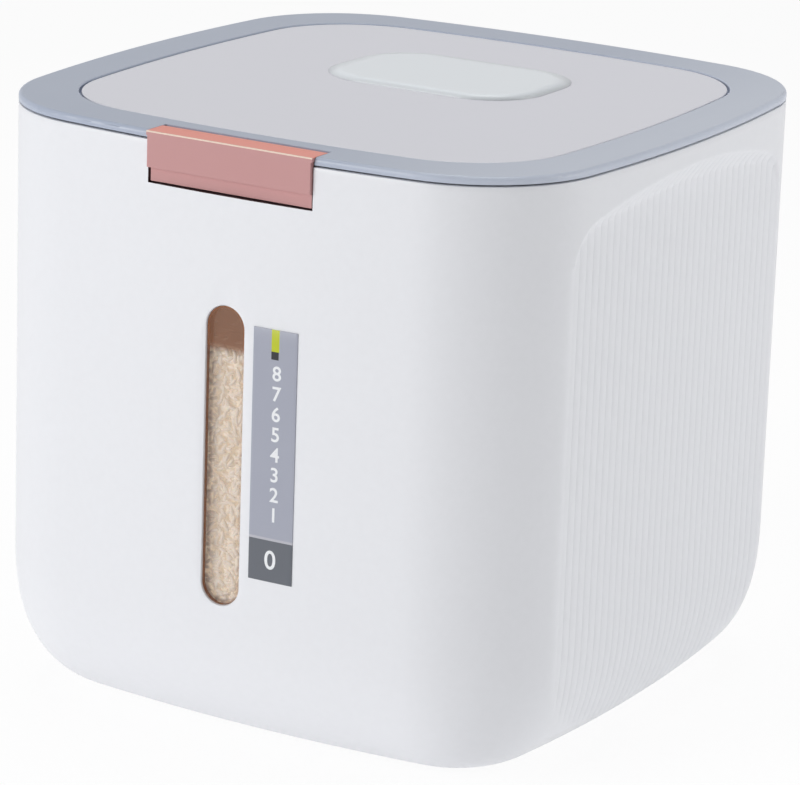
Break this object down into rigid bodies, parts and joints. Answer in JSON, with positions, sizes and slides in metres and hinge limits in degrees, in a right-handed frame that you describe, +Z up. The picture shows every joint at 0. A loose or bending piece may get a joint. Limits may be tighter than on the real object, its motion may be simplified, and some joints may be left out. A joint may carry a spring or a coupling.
{
  "type": "rice bin",
  "caption": "Square rice bin with bowed sides, flat fluted side faces under an arch, a tall front window, a framed flip lid on a rear hinge and an L-shaped front latch.",
  "frame": {"origin": "middle of the footprint, on the floor under the feet", "axes": "+Z up, front with the window and latch towards -Y, fluted sides at +X and -X"},
  "size_m": [0.26, 0.2606, 0.2451],
  "materials": {
    "bin_shell": "satin moulded white polypropylene",
    "inner_white": "matt moulded white polypropylene",
    "inner_dark": "matt moulded dark maroon plastic",
    "clear_pane": "clear styrene window",
    "label": "printed grey plate with plain marks",
    "rubber": "grey thermoplastic rubber",
    "steel_pin": "drawn steel pin",
    "lid_grey": "satin blue-grey polypropylene",
    "lid_panel": "fine matt pale grey",
    "seal_silicone": "translucent silicone",
    "rose_latch": "rose-gold painted satin plastic",
    "screw_steel": "zinc-plated steel"
  },
  "bodies": {
    "bin": {"bin_body": "bin_shell", "mouth_ring": "inner_white", "latch_housing": "inner_dark", "hinge_housing": "inner_white", "window_pane": "clear_pane", "label_plate": "label", "hinge_pin_left": "steel_pin", "hinge_pin_right": "steel_pin", "foot_front_left": "rubber", "foot_front_right": "rubber", "foot_rear_left": "rubber", "foot_rear_right": "rubber"},
    "lid": {"lid_frame": "lid_grey", "lid_panel": "lid_panel", "lid_seal": "seal_silicone", "lid_liner": "inner_white", "liner_screws": "screw_steel", "desiccant_box": "inner_white", "desiccant_cover": "inner_white", "latch_pin": "steel_pin"},
    "latch": {"latch": "rose_latch"}
  },
  "joints": [
    {"name": "lid_hinge", "type": "hinge", "parent": "bin", "child": "lid", "pos_m": [0, 0.1263, 0.2368], "axis": [-1, 0, 0], "range_deg": [0, 105]},
    {"name": "latch_hinge", "type": "hinge", "parent": "lid", "child": "latch", "pos_m": [0, -0.1196, 0.2419], "axis": [-1, 0, 0], "range_deg": [0, 90]}
  ]
}
